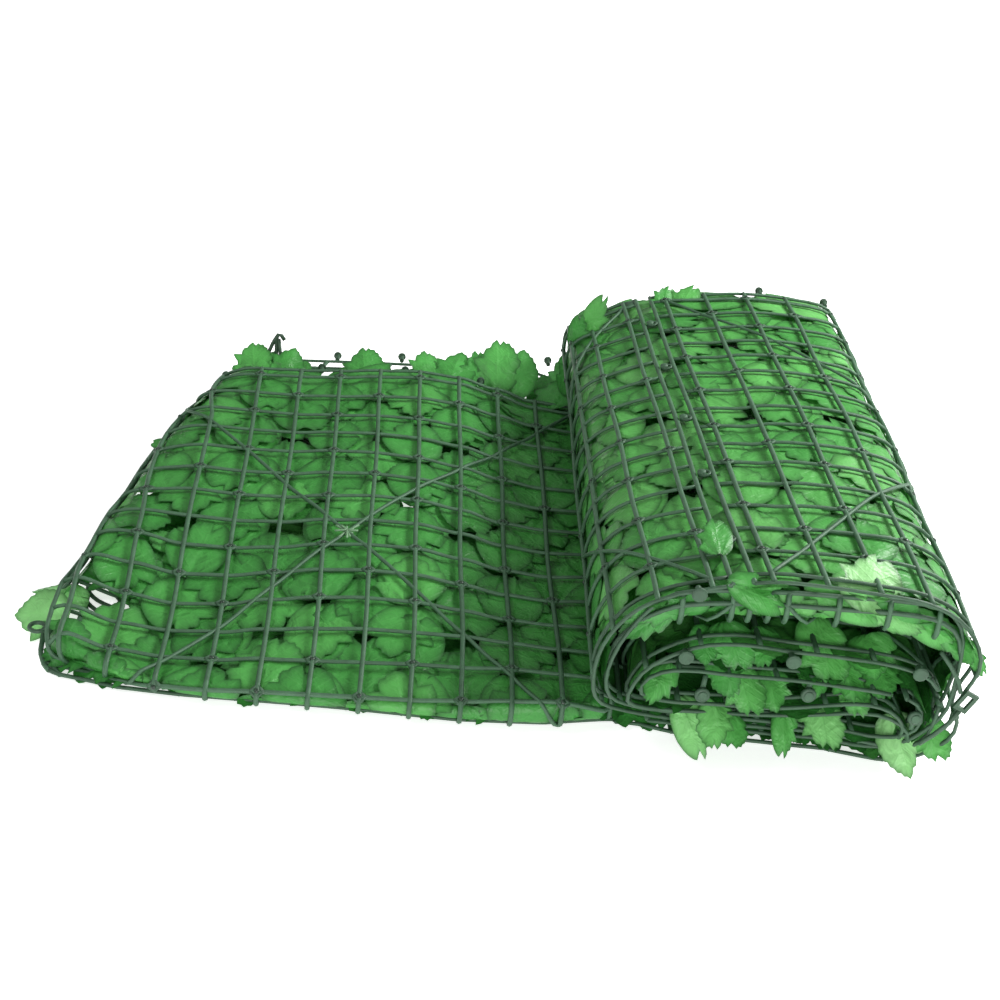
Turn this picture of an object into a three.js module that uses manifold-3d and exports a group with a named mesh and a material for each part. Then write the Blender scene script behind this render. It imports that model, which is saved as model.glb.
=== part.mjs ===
// Artificial leaf privacy screen, 0.5 m by 3 m, partly unrolled. Millimetres, +Z up.
// A strip of eight snapped mesh panels with leaves on one face is folded in half, leaves to leaves.
// Its doubled length is rolled up at +X, and its two free ends lie flat towards -X.
// X runs along the strip, Y across it (front edge at -Y), Z = 0 is the surface it rests on.
import * as THREE from "three";
import { mergeVertices } from "three/addons/utils/BufferGeometryUtils.js";
import Module from "manifold-3d";

const wasm = await Module();
wasm.setup();

// Driving dimensions
const CELL = 31; // square cell of the mesh
const EDGE = 11; // from the inner to the outer strand of a panel's doubled border
const COLUMNS = 11; // cells of a panel along the strip
const ROWS = 15; // cells of a panel across the strip
const WIDTH = ROWS * CELL + 2 * EDGE; // 487, the strip's width
const PANEL = COLUMNS * CELL + 2 * EDGE; // 363, one panel along the strip
const CENTRE = { x: 92.3, y: 237.55 }; // middle of the layout below, which becomes the part's origin
const GAP = 0.3; // between neighbouring solids
const CLOTH = 12; // mesh and its leaves, where nothing presses on them

// Where the loose ends meet the roll, and how far they reach
const SPLIT_X = 171;
const UPPER = { left: -184, back: 438, rim: 24 };
const LOWER = { left: -144, inside: 28, back: 487, lift: 15 };
const ROLL = { front: -12, back: 478, tuckY: 26, tuckZ: 60 };

// Height of the upper end's mesh, by distance along the strip (columns) and across it (rows).
const HEIGHT_X = [-174, -143, -112, -81, -50, -19, 12, 43, 74, 104, 134, 165];
const HEIGHT = [
  { y: 420, z: [18, 21, 24, 27, 28, 30, 33, 35, 33, 26, 18, 15] },
  { y: 358, z: [20, 24, 27, 27, 27, 29, 31, 31, 28, 21, 16, 14] },
  { y: 296, z: [18, 24, 29, 28, 28, 31, 32, 31, 27, 20, 15, 14] },
  { y: 234, z: [21, 23, 26, 25, 26, 30, 32, 31, 26, 18, 15, 15] },
  { y: 172, z: [28, 25, 19, 19, 22, 27, 29, 29, 24, 18, 15, 17] },
  { y: 110, z: [26, 17, 12, 14, 20, 24, 26, 26, 23, 19, 17, 17] },
  { y: 80, z: [24, 14, 11, 13, 18, 21, 23, 23, 23, 21, 19, 18] },
  { y: 48, z: [25, 15, 12, 13, 17, 18, 19, 20, 20, 22, 21, 20] },
  { y: 18, z: [26, 17, 15, 14, 15, 15, 15, 15, 17, 20, 22, 21] },
];
// How far the left edge of the upper end lies in from UPPER.left, where its corner is drawn under.
const DRAWN_IN = [
  { y: 442, x: 92 },
  { y: 420, x: 66 },
  { y: 398, x: 52 },
  { y: 358, x: 38 },
  { y: 298, x: 26 },
  { y: 228, x: 15 },
  { y: 171, x: 7 },
  { y: 120, x: 0 },
  { y: 0, x: 0 },
];

// Where the front edge of the upper end turns down, which bows back at the free corner and at the roll.
const FRONT_EDGE = [
  { x: -190, y: 58 },
  { x: -180, y: 46 },
  { x: -160, y: 30 },
  { x: -139, y: 21 },
  { x: -90, y: 15 },
  { x: -47, y: 12 },
  { x: 82, y: 8 },
  { x: 130, y: 12 },
  { x: 171, y: 22 },
];

// Outline of the wound form, clockwise from where it leaves the floor on the left.
const OUTLINE = [
  { at: "floor left", front: [172, 0], back: [172, 0] },
  { at: "bottom run", front: [172, 24], back: [172, 20] },
  { at: "under the left bend", front: [160, 32], back: [166, 25] },
  { at: "left bend low", front: [151, 46], back: [160, 36] },
  { at: "left bend", front: [146, 62], back: [156, 49] },
  { at: "left bend", front: [146, 82], back: [156, 62] },
  { at: "left bend high", front: [151, 100], back: [161, 73] },
  { at: "left shoulder", front: [163, 111], back: [172, 79] },
  { at: "left shoulder", front: [180, 121], back: [187, 87] },
  { at: "seam", front: [208, 130], back: [205, 95] },
  { at: "seam", front: [242, 136], back: [234, 103] },
  { at: "top", front: [275, 137], back: [265, 107] },
  { at: "top", front: [305, 135], back: [294, 110] },
  { at: "top", front: [335, 132], back: [325, 110] },
  { at: "right shoulder", front: [355, 125], back: [347, 107] },
  { at: "right shoulder", front: [370, 110], back: [366, 99] },
  { at: "right bend", front: [378, 90], back: [378, 86] },
  { at: "right bend", front: [374, 76], back: [381, 76] },
  { at: "seam", front: [368.5, 66], back: [382, 66] },
  { at: "seam", front: [369, 56], back: [381, 56] },
  { at: "right bend low", front: [372, 45], back: [379, 45] },
  { at: "right bend low", front: [371, 34], back: [374, 34] },
  { at: "right bend low", front: [363, 18], back: [366, 18] },
  { at: "leaves the floor", front: [352, 6], back: [357, 6] },
  { at: "floor right", front: [338, 0], back: [344, 0] },
];

// The strip winds in from the floor: right bend, top, left bend, bottom, and round once more.
// One gap runs between its turns from the outside to the core, and right through the roll.
// x and z are its middle at the front end, wide its width.
const BETWEEN_TURNS = [
  { at: "outside", x: 150, z: 22, wide: 2 },
  { at: "bottom", x: 172, z: 18, wide: 2 },
  { at: "bottom", x: 200, z: 16, wide: 2 },
  { at: "bottom", x: 300, z: 14, wide: 2 },
  { at: "bottom", x: 328, z: 13, wide: 2 },
  { at: "right", x: 345, z: 14, wide: 2 },
  { at: "right", x: 355, z: 22, wide: 2.5 },
  { at: "right", x: 359, z: 36, wide: 3 },
  { at: "right", x: 359, z: 54, wide: 4 },
  { at: "right", x: 359, z: 74, wide: 6 },
  { at: "right", x: 356, z: 90, wide: 8 },
  { at: "top", x: 345, z: 99, wide: 7 },
  { at: "top", x: 320, z: 100, wide: 7 },
  { at: "top", x: 280, z: 99, wide: 8 },
  { at: "top", x: 240, z: 101, wide: 8 },
  { at: "top", x: 205, z: 101, wide: 7 },
  { at: "left", x: 180, z: 93, wide: 6 },
  { at: "left", x: 166, z: 80, wide: 7 },
  { at: "left", x: 160, z: 64, wide: 8 },
  { at: "left", x: 162, z: 48, wide: 6 },
  { at: "left", x: 171, z: 37, wide: 4 },
  { at: "bottom", x: 188, z: 31, wide: 2 },
  { at: "bottom", x: 240, z: 30, wide: 2 },
  { at: "bottom", x: 300, z: 29, wide: 2 },
  { at: "right fold", x: 326, z: 31, wide: 3 },
];
const INTO_CORE = [
  { at: "right fold", x: 328, z: 45, wide: 3 },
  { at: "inner turn", x: 300, z: 49, wide: 2 },
  { at: "inner turn", x: 255, z: 52, wide: 2 },
  { at: "core", x: 218, z: 57, wide: 4 },
];
const HOLLOWS = [
  { name: "core", edge: [[191, 52], [200, 49], [222, 51], [228, 57], [222, 63], [196, 62]] },
  { name: "right fold", edge: [[318, 45], [321, 32], [334, 25], [344, 25], [349, 33], [346, 42], [338, 47], [328, 49]] },
];
// The back end is a little narrower and lower than the front.
const BACK = { x: 156, fromX: 146, narrow: 0.966, low: 0.8 };

// Snap studs and rings that stand out past the cloth: the middle of each, and the way it points.
const STUD = { disc: { front: 4.6, back: 3.2 }, stem: 1.8, length: 9, sides: 12 };
const STUDS = [
  { name: "stud_flat_back_1", x: -35, y: 443.2, z: 24, toward: "back" },
  { name: "stud_flat_back_2", x: 31, y: 443.2, z: 28, toward: "back" },
  { name: "stud_flat_back_3", x: 92, y: 443.2, z: 24, toward: "back" },
  { name: "stud_end_back_1", x: -24, y: 492.1, z: 12, toward: "back" },
  { name: "stud_end_back_2", x: 28.5, y: 492.1, z: 16, toward: "back" },
  { name: "stud_end_back_3", x: 148.5, y: 492.1, z: 24, toward: "back" },
  { name: "stud_roll_back_1", x: 310, y: 483, z: 106, toward: "back" },
  { name: "stud_roll_back_2", x: 364, y: 483, z: 101, toward: "back" },
  { name: "stud_roll_front_1", x: 199, y: -17, z: 129.5, toward: "front" },
  { name: "stud_roll_front_2", x: 198, y: -17, z: 86, toward: "front" },
  { name: "stud_roll_front_3", x: 261, y: -17, z: 88.5, toward: "front" },
  { name: "stud_roll_front_4", x: 337, y: -17, z: 86.5, toward: "front" },
];
const RING = { radius: 5, wire: 1.4, name: "ring_free_end", x: -191, y: 69, z: 13 };
const FRAME = { name: "corner_frame", across: 9.4, down: 13.7, bar: 2.4, turn: -0.47, x: 370.5, y: -12.4, z: 65 };

// Helpers
const mix = (a, b, t) => a + (b - a) * t;
const clamp = (v, a = 0, b = 1) => Math.min(b, Math.max(a, v));
const smooth = (t) => clamp(t) ** 2 * (3 - 2 * clamp(t));

// Place between two stations of a rising list, as an index and a fraction.
function station(list, v) {
  let i = 0;
  while (i < list.length - 2 && v > list[i + 1]) i++;
  return [i, clamp((v - list[i]) / (list[i + 1] - list[i]))];
}
const rising = [...HEIGHT].reverse();
function meshHeight(x, y) {
  const [i, s] = station(rising.map((r) => r.y), y);
  const [k, t] = station(HEIGHT_X, x);
  const row = (r) => mix(r.z[k], r.z[k + 1], smooth(t));
  return mix(row(rising[i]), row(rising[i + 1]), smooth(s));
}
function drawnIn(y) {
  const rows = [...DRAWN_IN].reverse();
  const [i, s] = station(rows.map((r) => r.y), y);
  return mix(rows[i].x, rows[i + 1].x, s);
}

function geometryOf(positions, triangles) {
  const g = new THREE.BufferGeometry();
  g.setAttribute("position", new THREE.Float32BufferAttribute(positions, 3));
  g.setIndex(triangles);
  return g;
}

// A closed slab between two height functions over a grid of plan points.
function slab(nx, ny, plan, top, bottom) {
  const p = [], t = [];
  for (const level of [top, bottom])
    for (let j = 0; j <= ny; j++)
      for (let i = 0; i <= nx; i++) {
        const [x, y] = plan(i / nx, j / ny);
        p.push(x, y, level(x, y, i / nx, j / ny));
      }
  const at = (k, i, j) => k * (nx + 1) * (ny + 1) + j * (nx + 1) + i;
  const quad = (a, b, c, d) => t.push(a, b, c, a, c, d);
  for (let j = 0; j < ny; j++)
    for (let i = 0; i < nx; i++) {
      quad(at(0, i, j), at(0, i + 1, j), at(0, i + 1, j + 1), at(0, i, j + 1));
      quad(at(1, i, j), at(1, i, j + 1), at(1, i + 1, j + 1), at(1, i + 1, j));
    }
  for (let i = 0; i < nx; i++) {
    quad(at(1, i, 0), at(1, i + 1, 0), at(0, i + 1, 0), at(0, i, 0));
    quad(at(1, i + 1, ny), at(1, i, ny), at(0, i, ny), at(0, i + 1, ny));
  }
  for (let j = 0; j < ny; j++) {
    quad(at(1, 0, j + 1), at(1, 0, j), at(0, 0, j), at(0, 0, j + 1));
    quad(at(1, nx, j), at(1, nx, j + 1), at(0, nx, j + 1), at(0, nx, j));
  }
  return geometryOf(p, t);
}

// A closed solid through rings of the same count of points, with flat ends.
function loft(rings) {
  const n = rings[0].length, p = rings.flat(2), t = [];
  for (let k = 0; k + 1 < rings.length; k++)
    for (let i = 0; i < n; i++) {
      const a = k * n + i, b = k * n + ((i + 1) % n);
      t.push(a, b, b + n, a, b + n, a + n);
    }
  // Cap triangles that run the same way round as the ring.
  const cap = (ring) => {
    const flat = ring.map(([x, , z]) => new THREE.Vector2(x, z));
    const way = THREE.ShapeUtils.area(flat);
    return THREE.ShapeUtils.triangulateShape([...flat], []).map(([a, b, c]) =>
      THREE.ShapeUtils.area([flat[a], flat[b], flat[c]]) * way > 0 ? [a, b, c] : [a, c, b],
    );
  };
  for (const [a, b, c] of cap(rings[0])) t.push(a, c, b);
  const last = (rings.length - 1) * n;
  for (const [a, b, c] of cap(rings.at(-1))) t.push(last + a, last + b, last + c);
  return geometryOf(p, t);
}

function solid(geometry) {
  const g = geometry.clone();
  g.deleteAttribute("normal");
  g.deleteAttribute("uv");
  const m = mergeVertices(g, 1e-4);
  const made = new wasm.Manifold(
    new wasm.Mesh({
      numProp: 3,
      vertProperties: new Float32Array(m.attributes.position.array),
      triVerts: new Uint32Array(m.index.array),
    }),
  );
  if (made.volume() > 0) return made;
  const flipped = new Uint32Array(m.index.array);
  for (let i = 0; i < flipped.length; i += 3)
    [flipped[i + 1], flipped[i + 2]] = [flipped[i + 2], flipped[i + 1]];
  return new wasm.Manifold(
    new wasm.Mesh({
      numProp: 3,
      vertProperties: new Float32Array(m.attributes.position.array),
      triVerts: flipped,
    }),
  );
}
function geometryFrom(made) {
  const mesh = made.getMesh(), p = [];
  for (let i = 0; i < mesh.numVert; i++)
    p.push(...mesh.vertProperties.subarray(i * mesh.numProp, i * mesh.numProp + 3));
  const g = geometryOf(p, Array.from(mesh.triVerts));
  g.computeVertexNormals();
  return g;
}

// Materials
const plastic = new THREE.MeshStandardMaterial({ color: 0x33513f, roughness: 0.45, metalness: 0 });
const leafy = new THREE.MeshStandardMaterial({ color: 0x4c9a4a, roughness: 0.6, metalness: 0, side: THREE.DoubleSide });

const screen = new THREE.Group();
screen.name = "screen";
screen.position.set(-CENTRE.x, -CENTRE.y, 0);
function add(name, geometry, material) {
  const mesh = new THREE.Mesh(geometry, material);
  mesh.name = name;
  screen.add(mesh);
  return mesh;
}

// Upper end: it follows the dome and dips of its mesh, and its front and left rims turn down to the floor.
const upperLeft = (y) => UPPER.left + drawnIn(y);
function frontEdge(x) {
  const [i, s] = station(FRONT_EDGE.map((r) => r.x), x);
  return mix(FRONT_EDGE[i].y, FRONT_EDGE[i + 1].y, s);
}
// Plan points are closer together near the rims, where the surface turns down.
const crowd = (t, amount) => mix(t, t - Math.sin(2 * Math.PI * t) / (2 * Math.PI), amount);
function upperPlan(u, v) {
  const e = crowd(v, 0.6);
  let x = 0, y = mix(30, UPPER.back, e);
  for (let pass = 0; pass < 8; pass++) {
    x = mix(upperLeft(y), SPLIT_X, crowd(u, 0.4));
    y = mix(frontEdge(x), UPPER.back, e);
  }
  return [x, y];
}
// Height share of the rounded rims, 0 at the rim and 1 past it.
function inFrom(distance, reach) {
  const d = clamp(distance / reach);
  return Math.sqrt(clamp(1 - (1 - d) ** 2));
}
const leftReach = (y) => mix(10, UPPER.rim, smooth((y - 100) / 60));
const leftFloor = (y) => mix(0.7, 0.35, smooth((y - 100) / 60));
function upperTop(x, y) {
  const full = meshHeight(x, y) + 2;
  const front = inFrom(y - frontEdge(x), UPPER.rim);
  const left = inFrom(x - upperLeft(y), leftReach(y));
  return Math.max(6, full * mix(0.3, 1, front) * mix(leftFloor(y), 1, left));
}
function upperBottom(x, y) {
  const under = upperTop(x, y) - Math.min(CLOTH, 0.46 * upperTop(x, y));
  const front = smooth((y - frontEdge(x) - 9) / 15);
  const left = smooth((x - upperLeft(y) - 6) / 16);
  return under * Math.min(front, left);
}
add("loose_end_upper", slab(30, 30, upperPlan, upperTop, upperBottom), leafy);

// Lower end: it lies on the floor under the upper one, and its back edge shows past it, lifted a little.
function lowerPlan(u, v) {
  let y = 0, x = 0;
  for (let pass = 0; pass < 8; pass++) {
    y = mix(frontEdge(x) + LOWER.inside, LOWER.back, v);
    x = mix(Math.max(LOWER.left, upperLeft(Math.min(y, UPPER.back)) + 26), SPLIT_X, u);
  }
  return [x, y];
}
const lift = (x, y) =>
  LOWER.lift * smooth((y - 446) / 41) * mix(0.4, 1, (x + 100) / 270) * mix(1, 0.35, smooth((x - 136) / 28));
function lowerTop(x, y) {
  const free = 9 + 3 * Math.sin(x / 38) * Math.sin(y / 45);
  const under = y < UPPER.back + 6 ? upperBottom(x, Math.min(y, UPPER.back - 1)) - 1.2 : 11;
  return Math.max(2.2, Math.min(free, under)) + lift(x, y);
}
add("loose_end_lower", slab(24, 26, lowerPlan, lowerTop, lift), leafy);

// Roll: sections from the front end to the back, less the gaps between its turns.
const STATIONS = 7;
function ring(front, back, t, out = 0) {
  return front.map(([x, z], i) => {
    const bx = back[i][0], bz = back[i][1];
    const px = mix(x, bx, t), pz = mix(z, bz, t);
    const start = ROLL.front + (t === 0 ? ROLL.tuckY * smooth(1 - pz / ROLL.tuckZ) : 0);
    return [px, t === 0 && out === 0 ? start : mix(ROLL.front - out, ROLL.back + out, t), pz];
  });
}
const sections = (front, back, out = 0) =>
  Array.from({ length: STATIONS }, (_, k) => ring(front, back, k / (STATIONS - 1), out));
const toBack = ([x, z]) => [BACK.x + BACK.narrow * (x - BACK.fromX), BACK.low * z];
// Both sides of a line of given widths, as one outline.
function ribbon(rows) {
  const side = (way) =>
    rows.map((r, i) => {
      const p = rows[Math.max(0, i - 1)], q = rows[Math.min(rows.length - 1, i + 1)];
      const along = Math.hypot(q.x - p.x, q.z - p.z);
      return [r.x - (way * r.wide * (q.z - p.z)) / 2 / along, r.z + (way * r.wide * (q.x - p.x)) / 2 / along];
    });
  return [...side(1), ...side(-1).reverse()];
}
let wound = solid(loft(sections(OUTLINE.map((r) => r.front), OUTLINE.map((r) => r.back))));
for (const edge of [ribbon(BETWEEN_TURNS), ribbon(INTO_CORE), ...HOLLOWS.map((h) => h.edge)])
  wound = wound.subtract(solid(loft(sections(edge, edge.map(toBack), 8))));
add("roll", geometryFrom(wound), leafy);

// Studs: a stem on the panel's edge with a wider disc at its tip.
function studGeometry(disc) {
  const half = STUD.length / 2;
  const profile = [
    [0, -half],
    [STUD.stem, -half],
    [STUD.stem, half - 2.4],
    [disc, half - 2],
    [disc, half - 0.6],
    [disc - 1, half],
    [0, half],
  ].map(([r, h]) => new THREE.Vector2(r, h));
  return new THREE.LatheGeometry(profile, STUD.sides);
}
for (const s of STUDS) {
  const stud = add(s.name, studGeometry(STUD.disc[s.toward]), plastic);
  stud.rotation.x = s.toward === "back" ? 0 : Math.PI;
  stud.position.set(s.x, s.y, s.z);
}

// Ring on the free edge, lying level.
const ringMesh = add(RING.name, new THREE.TorusGeometry(RING.radius, RING.wire, 8, 20), plastic);
ringMesh.position.set(RING.x, RING.y, RING.z);

// Corner of a panel's border that stands out at the roll's right side: a small frame.
const outer = new THREE.Shape();
const a = FRAME.across / 2, d = FRAME.down / 2;
outer.moveTo(-a, -d).lineTo(a, -d).lineTo(a, d).lineTo(-a, d).lineTo(-a, -d);
const hole = new THREE.Path();
const ia = a - FRAME.bar, id = d - FRAME.bar;
hole.moveTo(-ia, -id).lineTo(-ia, id).lineTo(ia, id).lineTo(ia, -id).lineTo(-ia, -id);
outer.holes.push(hole);
const frameGeometry = new THREE.ExtrudeGeometry(outer, { depth: FRAME.bar, bevelEnabled: false });
frameGeometry.rotateZ(FRAME.turn);
frameGeometry.rotateX(Math.PI / 2);
const corner = add(FRAME.name, frameGeometry, plastic);
corner.position.set(FRAME.x, FRAME.y, FRAME.z);

export default screen;
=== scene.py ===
"""Looks of the artificial leaf privacy screen: eight snapped mesh panels with leaf sprigs, folded in half and rolled up.

Lengths are in millimetres in the layout frame of the CAD source and become metres in the part's frame at the end.
s runs along a strip from its free end, v across it from the front border, and a leaf stands off on the strip's inner side.
"""

import math

import bpy
import numpy as np
from mathutils import Matrix, Vector


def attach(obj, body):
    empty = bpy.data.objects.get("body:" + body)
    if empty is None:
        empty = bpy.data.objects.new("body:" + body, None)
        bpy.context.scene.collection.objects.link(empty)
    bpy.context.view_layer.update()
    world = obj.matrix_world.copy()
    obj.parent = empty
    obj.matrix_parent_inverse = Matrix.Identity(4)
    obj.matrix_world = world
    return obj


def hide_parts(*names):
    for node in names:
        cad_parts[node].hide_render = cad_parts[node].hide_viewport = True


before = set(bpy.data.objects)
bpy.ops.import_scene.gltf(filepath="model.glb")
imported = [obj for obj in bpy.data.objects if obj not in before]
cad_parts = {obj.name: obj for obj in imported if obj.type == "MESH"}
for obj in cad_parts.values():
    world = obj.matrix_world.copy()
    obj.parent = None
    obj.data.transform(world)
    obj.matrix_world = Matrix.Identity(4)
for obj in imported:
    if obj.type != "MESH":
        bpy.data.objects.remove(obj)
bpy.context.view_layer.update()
rng = np.random.default_rng(41)

# Sizes
CELL = 31.0
EDGE = 11.0
COLUMNS = 11
ROWS = 15
LONG = COLUMNS * CELL  # 341, between the end strands of a panel
ACROSS = ROWS * CELL  # 465, between its front and back strands
PITCH = 375.0  # one panel to the next
CENTRE = np.array([92.3, 237.55, 0.0])
STRAND = 3.5  # width of a strand
STEP = CELL / 4  # length of a strand's pieces

# Middle of the outer strip's mesh, at the front end (xf, zf) and the back end (xb, zb) of the roll.
# A fifth value is s where it is known. Between two of them s grows with the length at the front end.
OUTER_PATH = [
    # xf, zf, xb, zb
    (-200, 2.5, -200, 2.5),
    (-147, 2.5, -147, 2.5, -11.0),
    (60, 2.5, 60, 2.5),
    (172, 2.5, 172, 2.5, 308.0),
    (250, 2.5, 250, 2.5),
    (318, 2.8, 322, 2.5),
    (338, 5, 343, 4),
    (353, 13, 357, 10),
    (363, 24, 366, 20),
    (370, 36, 374, 32),
    (371, 46, 378, 46),
    (368, 56, 380, 56),
    (368, 66, 380, 65),
    (372, 77, 379.5, 74),
    (374.5, 90, 378, 84),
    (370, 103, 371, 94),
    (355, 120, 358, 104),
    (335, 129, 326, 107),
    (304, 133, 294, 107),
    (273, 135, 263, 103),
    (242, 135, 232, 99, 716.0),
    (225, 132, 216, 95),
    (207, 127.5, 200, 89.5, 750.5),
    (181, 119, 177, 78),
    (165, 109, 167, 73),
    (155, 96, 160, 66),
    (149, 81, 157.5, 58),
    (147.5, 66, 157.5, 50),
    (149, 53, 159, 42),
    (153, 42, 162, 35),
    (160, 33, 168, 28),
    (172, 26, 178, 21),
    (190, 21, 196, 17),
    (220, 18, 226, 15),
    (300, 17.5, 303, 14),
    (332, 17, 336, 14),
    (349, 21, 350, 17),
    (355, 31, 357, 26),
    (356.5, 46, 358, 39),
    (356.5, 60, 358, 52),
    (353, 71, 354, 62),
    (345, 79, 346, 69, 1125.0),
    (329, 84, 330, 70),
    (298, 87, 301, 71),
    (255, 89, 260, 72),
    (231, 91, 236, 73),
    (207, 88, 213, 70),
    (190, 80, 197, 64),
    (177, 69, 184, 56),
    (171, 55, 179, 45),
    (171, 43, 178, 35),
    (178, 35, 184, 28),
    (192, 32, 200, 26),
    (220, 32, 226, 26),
    (262, 34, 266, 27),
    (292, 41, 296, 33),
    (308, 46, 312, 37),
    (322, 47, 325, 38),
    (334, 43, 337, 35),
    (343, 35, 345, 28),
    (347, 24, 348, 19, 1479.0),
]

# Middle of the inner strip's mesh, from where it passes under the roll.
INNER_PATH = [
    (-230, 15, -230, 15, -56.0),
    (172, 15, 172, 14, 346.0),
    (200, 13.5, 200, 12),
    (300, 12, 300, 11),
    (322, 13, 324, 11.5),
    (338, 19, 340, 16),
    (348, 30, 351, 25),
    (355, 42, 358, 35),
    (360.5, 55, 364, 46),
    (361.5, 73, 366, 58),
    (360, 89, 364, 72),
    (353, 101, 355, 83),
    (341, 107, 341, 87),
    (324, 109, 322, 88),
    (290, 109, 288, 88),
    (257, 109, 255, 87, 712.0),
    (229, 108, 228, 85),
    (205, 106, 207, 82),
    (184, 101, 188, 76),
    (169, 92, 175, 70),
    (159, 80, 167, 62),
    (155, 66, 164, 53),
    (157, 52, 165, 43),
    (163, 42, 170, 35),
    (176, 34, 182, 28),
    (205, 28, 210, 23),
    (260, 27, 264, 22),
    (305, 26, 308, 21),
    (328, 25.5, 331, 21),
    (341, 30, 343, 25),
    (348, 40, 350, 33),
    (347.5, 50, 349, 41),
    (342, 59, 344, 48),
    (326, 64, 328, 51),
    (298, 67, 301, 54),
    (258, 69, 262, 55),
    (228, 69, 233, 55),
    (204, 70, 210, 56),
    (190, 68.5, 197, 54),
    (180, 63, 187, 50),
    (176, 56, 183, 44),
    (179, 49, 186, 39),
    (188, 45, 195, 36),
    (225, 44, 230, 35),
    (262, 46, 266, 37),
    (290, 53, 294, 43),
    (306, 56, 310, 45),
    (320, 55, 323, 44),
    (331, 50, 333, 40),
    (338, 42, 340, 33),
    (341, 32, 342, 26),
    (340, 26, 341, 21, 1479.0),
]

# Height of the upper loose end's mesh, by distance along the strip and across it.
HEIGHT_X = [-174, -143, -112, -81, -50, -19, 12, 43, 74, 104, 134, 165]
HEIGHT = [
    (420, [18, 21, 24, 27, 28, 30, 33, 35, 33, 26, 18, 15]),
    (358, [20, 24, 27, 27, 27, 29, 31, 31, 28, 21, 16, 14]),
    (296, [18, 24, 29, 28, 28, 31, 32, 31, 27, 20, 15, 14]),
    (234, [21, 23, 26, 25, 26, 30, 32, 31, 26, 18, 15, 15]),
    (172, [28, 25, 19, 19, 22, 27, 29, 29, 24, 18, 15, 17]),
    (110, [26, 17, 12, 14, 20, 24, 26, 26, 23, 19, 17, 17]),
    (80, [24, 14, 11, 13, 18, 21, 23, 23, 23, 21, 19, 18]),
    (48, [25, 15, 12, 13, 17, 18, 19, 20, 20, 22, 21, 20]),
    (18, [26, 17, 15, 14, 15, 15, 15, 15, 17, 20, 22, 21]),
]
# Outline of the loose ends' left side, as x by y.
LEFT_SIDE = [
    (30, -170), (36, -176), (45, -182), (58, -186.5), (81, -188), (108, -186), (127, -180.7), (153, -174.5), (179, -170.6),
    (213, -167), (249, -160.4), (285, -154.8), (322, -147.2), (343, -141), (368, -133.4), (411, -119.8), (441, -108.5), (484, -86),
]
# How wide the turn at that side is, by y.
LEFT_TURN = [(60, 12), (110, 15), (200, 26), (441, 29)]
# Where the front edge turns down, as y by x.
FRONT_EDGE = [(-190, 66), (-182, 50), (-172, 42), (-160, 36), (-141, 28), (-107, 18.5), (-74, 15.5), (-14, 14), (17, 13), (80, 10), (130, 13), (171, 22)]


# Helpers
def smooth(t):
    t = np.clip(t, 0.0, 1.0)
    return t * t * (3 - 2 * t)


def table(rows, at):
    xs, ys = zip(*rows)
    return np.interp(at, xs, ys)


def left_side(y):
    return table(LEFT_SIDE, y)


def front_edge(x):
    return table(FRONT_EDGE, x)


_rows = np.array([z for _, z in HEIGHT][::-1], float)
_ys = np.array([y for y, _ in HEIGHT][::-1], float)


def height(x, y):
    x, y = np.broadcast_arrays(np.asarray(x, float), np.asarray(y, float))
    i = np.clip(np.searchsorted(_ys, y) - 1, 0, len(_ys) - 2)
    a = smooth((y - _ys[i]) / (_ys[i + 1] - _ys[i]))
    xs = np.array(HEIGHT_X, float)
    k = np.clip(np.searchsorted(xs, x) - 1, 0, len(xs) - 2)
    b = smooth((x - xs[k]) / (xs[k + 1] - xs[k]))
    low = _rows[i, k] * (1 - b) + _rows[i, k + 1] * b
    high = _rows[i + 1, k] * (1 - b) + _rows[i + 1, k + 1] * b
    return low * (1 - a) + high * a


def path(rows):
    """A dense table of s, xf, zf, xb, zb along a smooth curve through the stations."""
    anchors = [(i, r[4]) for i, r in enumerate(rows) if len(r) > 4]
    p = np.array([r[:4] for r in rows], float)
    h = np.hypot(*(np.diff(p[:, :2], axis=0).T))
    d = np.diff(p, axis=0) / h[:, None]
    m = np.vstack([d[:1], (d[:-1] * h[1:, None] + d[1:] * h[:-1, None]) / (h[:-1] + h[1:])[:, None], d[-1:]])
    out, mark = [], []
    for i in range(len(h)):
        n = max(3, int(h[i] / 2))
        t = np.arange(n)[:, None] / n
        mark.append(sum(len(o) for o in out))
        out.append(
            (2 * t**3 - 3 * t**2 + 1) * p[i]
            + (t**3 - 2 * t**2 + t) * h[i] * m[i]
            + (3 * t**2 - 2 * t**3) * p[i + 1]
            + (t**3 - t**2) * h[i] * m[i + 1]
        )
    mark.append(sum(len(o) for o in out))
    q = np.vstack([*out, p[-1:]])
    run = np.concatenate([[0], np.cumsum(np.hypot(*(np.diff(q[:, :2], axis=0).T)))])
    known = [(run[mark[i]], s) for i, s in anchors]
    if known[0][0] > 0:
        known.insert(0, (0.0, known[0][1] - known[0][0]))
    return np.column_stack([np.interp(run, *zip(*known)), q])


OUTER = path(OUTER_PATH)
INNER = path(INNER_PATH)


def along(tab, s):
    """The four path values at s, going straight on past the table's ends."""
    v = np.stack([np.interp(s, tab[:, 0], tab[:, i]) for i in range(1, 5)])
    for end, nxt, way in ((0, 3, -1), (-1, -4, 1)):
        past = np.maximum(0.0, (s - tab[end, 0]) * way)
        slope = (tab[end, 1:] - tab[nxt, 1:]) / abs(tab[end, 0] - tab[nxt, 0])
        v = v + slope[:, None] * past.reshape(1, -1)
    return v


def tuck(x, z):
    """How far the front edge sits back near the floor under the roll."""
    return np.interp(x, [171, 300, 350, 380], [30, 26, 12, 4]) * smooth(1 - z / 60)


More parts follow.
